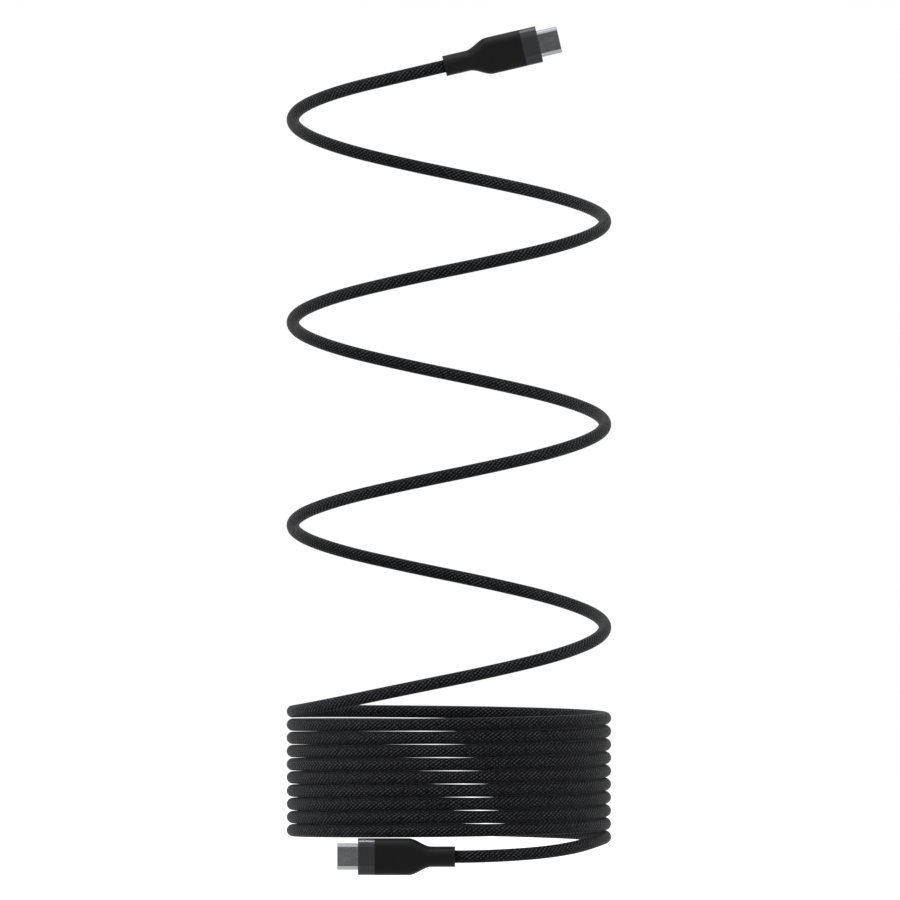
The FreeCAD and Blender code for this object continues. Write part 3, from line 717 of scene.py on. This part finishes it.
# The cards are strips of a sphere round the cable, each from one height in degrees to another,
# counted from the camera's side over the top, and with the half angle on either side.
CARD_RADIUS = 3.2
CARD_THICKNESS = 0.02
CARD_HALF_ANGLE = math.radians(35)
CARD_ROWS = 24
CARD_COLUMNS = 15
middle = np.array((HELIX_AXIS[0], HELIX_AXIS[1], -0.13))
across = np.linspace(-CARD_HALF_ANGLE, CARD_HALF_ANGLE, CARD_COLUMNS)
thick = np.repeat((CARD_RADIUS, CARD_RADIUS + CARD_THICKNESS), CARD_COLUMNS)[None, :, None]
across = np.concatenate((across, across[::-1]))[None, :]
for name, low, high, glow in (("low_front_card", -8, 0, 0.195), ("high_front_card", 0, 8, 0.135),
                              ("rear_card", 95, 180, 0.7)):
    rise = np.radians(np.linspace(low, high, CARD_ROWS))[:, None]
    card_rings = middle + thick * np.stack(np.broadcast_arrays(
        np.sin(across), -np.cos(across) * np.cos(rise), np.cos(across) * np.sin(rise)), axis=-1)
    shine = bpy.data.materials.new(name)
    shine.use_nodes = True
    shine.node_tree.nodes.remove(shine.node_tree.nodes["Principled BSDF"])
    emission = node(shine.node_tree, "Emission", {"Strength": glow})
    shine.node_tree.links.new(emission, shine.node_tree.nodes["Material Output"].inputs["Surface"])
    card = stage_piece(name, card_rings, shine)
    for kind in ("camera", "diffuse", "transmission", "volume_scatter", "shadow"):
        setattr(card, "visible_" + kind, False)


def softbox(name, place, aim, width, length, radiance):
    """An area lamp that the camera doesn't see. Its power is its radiance times pi times its area."""
    data = bpy.data.lights.new(name, "AREA")
    data.shape = "RECTANGLE"
    data.size = width
    data.size_y = length
    data.energy = radiance * math.pi * width * length
    lamp = bpy.data.objects.new(name, data)
    lamp.location = place
    lamp.rotation_euler = Vector(np.subtract(aim, place)).to_track_quat("-Z", "Y").to_euler()
    lamp.visible_camera = False
    scene.collection.objects.link(lamp)
    return lamp


softbox("overhead_softbox", (0.0, -0.10, 1.3), (0.0, -0.10, 0.0), 0.80, 1.00, 0.9)
softbox("key_softbox", (-1.3, -1.3, 1.2), middle, 0.6, 0.6, 5.5)
softbox("left_strip", (-1.6, -0.2, 0.1), middle, 0.5, 1.4, 4.0)
softbox("right_strip", (1.6, -0.2, 0.1), middle, 0.5, 1.4, 3.0)


def lit_by(lamp, pieces):
    """Let only these pieces reflect a lamp, which gives no other light."""
    lamp.visible_diffuse = False
    lamp.light_linking.receiver_collection = bpy.data.collections.new("lit by " + lamp.name)
    for piece in pieces:
        lamp.light_linking.receiver_collection.objects.link(piece)


# A softbox overhead draws the glow along the upper sides of the grips, and a strip high over each
# plug the bright line along the upper edge of its trim ring.
lit_by(softbox("grip_softbox", (0.0, -0.10, 1.2), (0.0, -0.10, 0.0), 0.80, 1.00, 3.4), grips.values())
for plug, x, y, length, radiance in (("top_plug", -0.32, 0.15, 0.50, 36.0),
                                     ("bottom_plug", -0.06, 0.03, 0.60, 106.0)):
    lit_by(softbox(plug + "_strip", (x, y, 1.3), (x, y, 0.0), 0.20, length, radiance), [rings[plug]])

# ---------------------------------------------------------------------------------------------
# The camera. A long lens, level with the middle of the cable.

CAMERA_DISTANCE = 4.89               # to the helix's axis
CAMERA_X = -0.02774
CAMERA_HEIGHT = -0.1214
VIEW_MIDDLE_Z = -0.1264
camera_data = bpy.data.cameras.new("camera")
camera = bpy.data.objects.new("camera", camera_data)
scene.collection.objects.link(camera)
camera_data.sensor_width = 36
camera_data.lens = 622
camera_data.clip_end = 100
camera.location = (CAMERA_X, COIL_RADIUS - CAMERA_DISTANCE, CAMERA_HEIGHT)
camera.rotation_euler = (math.pi / 2 - (CAMERA_HEIGHT - VIEW_MIDDLE_Z) / CAMERA_DISTANCE, 0, 0)
scene.camera = camera
scene.view_settings.view_transform = "Standard"
